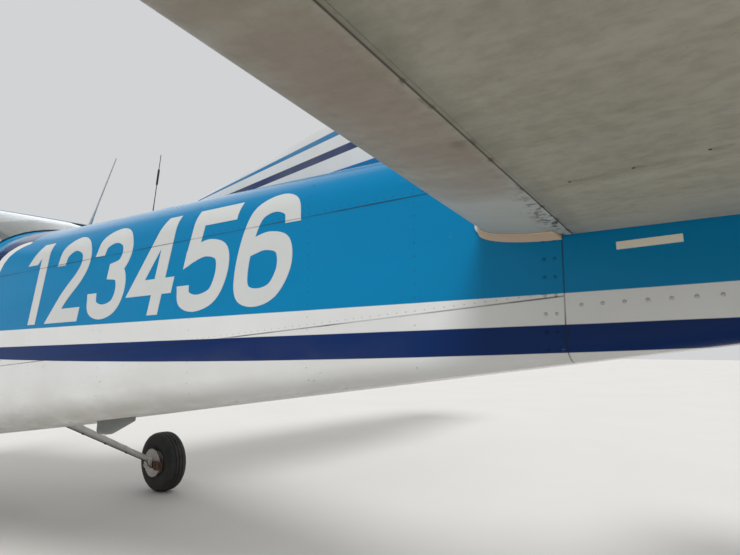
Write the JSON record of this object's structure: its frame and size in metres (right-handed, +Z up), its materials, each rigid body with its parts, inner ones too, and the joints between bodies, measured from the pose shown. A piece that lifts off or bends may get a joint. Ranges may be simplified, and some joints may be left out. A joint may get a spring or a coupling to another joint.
{
  "type": "four-seat high-wing light aircraft",
  "caption": "High-wing light aircraft with braced wings, fixed nose-wheel gear, opening doors and moving control surfaces.",
  "frame": {"origin": "on the ground, below the middle of the aircraft's length and span", "axes": "+X to the aircraft's left, -Y towards the nose, +Z up"},
  "size_m": [10.9, 8.1686, 2.676],
  "materials": {
    "blue_paint": "gloss paint over alloy sheet",
    "white_paint": "gloss paint over alloy sheet",
    "worn_paint": "weathered off-white paint over alloy sheet",
    "bare_alloy": "satin",
    "leg_steel": "painted",
    "pipe_steel": "heat-stained",
    "engine_iron": "matt",
    "tyre_rubber": "dusty",
    "clear_pane": "clear",
    "black_trim": "matt",
    "tan_trim": "worn",
    "seat_cloth": "woven"
  },
  "bodies": {
    "airframe": {"antenna_aft": "black_trim", "antenna_fore": "white_paint", "belly_antenna": "worn_paint", "cabin_frame": "white_paint", "cabin_roof": "white_paint", "cabin_tub": "white_paint", "cowl_lower": "white_paint", "cowl_upper": "white_paint", "engine_block": "engine_iron", "exhaust_pipe": "pipe_steel", "fin": "white_paint", "fin_beacon": "clear_pane", "front_seat_left": "seat_cloth", "front_seat_right": "seat_cloth", "instrument_panel": "black_trim", "main_leg_left": "leg_steel", "main_leg_right": "leg_steel", "nose_sleeve": "white_paint", "pitot_tube": "bare_alloy", "position_light_left": "clear_pane", "position_light_right": "clear_pane", "rear_bench": "seat_cloth", "rear_window": "clear_pane", "root_fairing_left": "tan_trim", "root_fairing_right": "tan_trim", "side_window_left": "clear_pane", "side_window_right": "clear_pane", "stabilizer_left": "worn_paint", "stabilizer_right": "worn_paint", "tail_fairing": "white_paint", "tailcone": "blue_paint", "windshield": "clear_pane", "wing_left": "white_paint", "wing_right": "white_paint", "wing_strut_left": "white_paint", "wing_strut_right": "white_paint"},
    "propeller": {"propeller": "bare_alloy", "spinner": "white_paint"},
    "nose_leg": {"nose_fork": "bare_alloy"},
    "nose_wheel": {"nose_wheel": "bare_alloy", "nose_tyre": "tyre_rubber"},
    "main_wheel_left": {"main_wheel_left": "bare_alloy", "main_tyre_left": "tyre_rubber"},
    "main_wheel_right": {"main_wheel_right": "bare_alloy", "main_tyre_right": "tyre_rubber"},
    "door_left": {"cabin_door_left": "white_paint", "door_window_left": "clear_pane"},
    "door_right": {"cabin_door_right": "white_paint", "door_window_right": "clear_pane"},
    "baggage_door": {"baggage_door": "blue_paint"},
    "flap_left": {"flap_left": "white_paint"},
    "flap_right": {"flap_right": "white_paint"},
    "aileron_left": {"aileron_left": "white_paint"},
    "aileron_right": {"aileron_right": "white_paint"},
    "elevator": {"elevator_left": "worn_paint", "elevator_right": "worn_paint"},
    "trim_tab": {"trim_tab": "worn_paint"},
    "rudder": {"rudder": "white_paint"}
  },
  "joints": [
    {"name": "propeller_spin", "type": "hinge", "parent": "airframe", "child": "propeller", "pos_m": [0, -3.9243, 1.25], "axis": [0, 1, 0], "continuous": true},
    {"name": "nose_steering", "type": "hinge", "parent": "airframe", "child": "nose_leg", "pos_m": [0, -3.2385, 0.1805], "axis": [0, 0.2419, 0.9703], "range_deg": [-30, 30]},
    {"name": "nose_wheel_spin", "type": "hinge", "parent": "nose_leg", "child": "nose_wheel", "pos_m": [0, -3.2385, 0.1805], "axis": [1, 0, 0], "continuous": true},
    {"name": "main_wheel_left_spin", "type": "hinge", "parent": "airframe", "child": "main_wheel_left", "pos_m": [1.275, -1.58242, 0.2225], "axis": [1, 0, 0], "continuous": true},
    {"name": "main_wheel_right_spin", "type": "hinge", "parent": "airframe", "child": "main_wheel_right", "pos_m": [-1.275, -1.58242, 0.2225], "axis": [1, 0, 0], "continuous": true},
    {"name": "door_left_hinge", "type": "hinge", "parent": "airframe", "child": "door_left", "pos_m": [0.532, -2.536, 1.2], "axis": [0, 0, -1], "range_deg": [0, 70]},
    {"name": "door_right_hinge", "type": "hinge", "parent": "airframe", "child": "door_right", "pos_m": [-0.532, -2.536, 1.2], "axis": [0, 0, 1], "range_deg": [0, 70]},
    {"name": "baggage_door_hinge", "type": "hinge", "parent": "airframe", "child": "baggage_door", "pos_m": [0.467, -0.7961, 1.17], "axis": [0, 0, -1], "range_deg": [0, 85]},
    {"name": "flap_left_hinge", "type": "hinge", "parent": "airframe", "child": "flap_left", "pos_m": [1.56, -1.2076, 1.755], "axis": [-1, 0, 0], "range_deg": [0, 30]},
    {"name": "flap_right_hinge", "type": "hinge", "parent": "airframe", "child": "flap_right", "pos_m": [-1.56, -1.2076, 1.755], "axis": [-1, 0, 0], "range_deg": [0, 30]},
    {"name": "aileron_left_hinge", "type": "hinge", "parent": "airframe", "child": "aileron_left", "pos_m": [3.811, -1.25623, 1.9915], "axis": [-0.9954, 0.083, -0.0488], "range_deg": [-20, 15]},
    {"name": "aileron_right_hinge", "type": "hinge", "parent": "airframe", "child": "aileron_right", "pos_m": [-3.811, -1.25623, 1.9915], "axis": [-0.9954, -0.083, 0.0488], "range_deg": [-15, 20]},
    {"name": "elevator_hinge", "type": "hinge", "parent": "airframe", "child": "elevator", "pos_m": [0, 2.7686, 1.372], "axis": [1, 0, 0], "range_deg": [-23, 28]},
    {"name": "trim_tab_hinge", "type": "hinge", "parent": "elevator", "child": "trim_tab", "pos_m": [-0.58, 3.0607, 1.372], "axis": [1, 0, 0], "range_deg": [-13, 28]},
    {"name": "rudder_hinge", "type": "hinge", "parent": "airframe", "child": "rudder", "pos_m": [0, 2.8702, 1.19], "axis": [0, 0.3853, 0.9228], "range_deg": [-17, 17]}
  ],
  "couplings": [
    {"joint": "flap_right_hinge", "follows": "flap_left_hinge", "ratio": 1},
    {"joint": "aileron_right_hinge", "follows": "aileron_left_hinge", "ratio": -1}
  ]
}
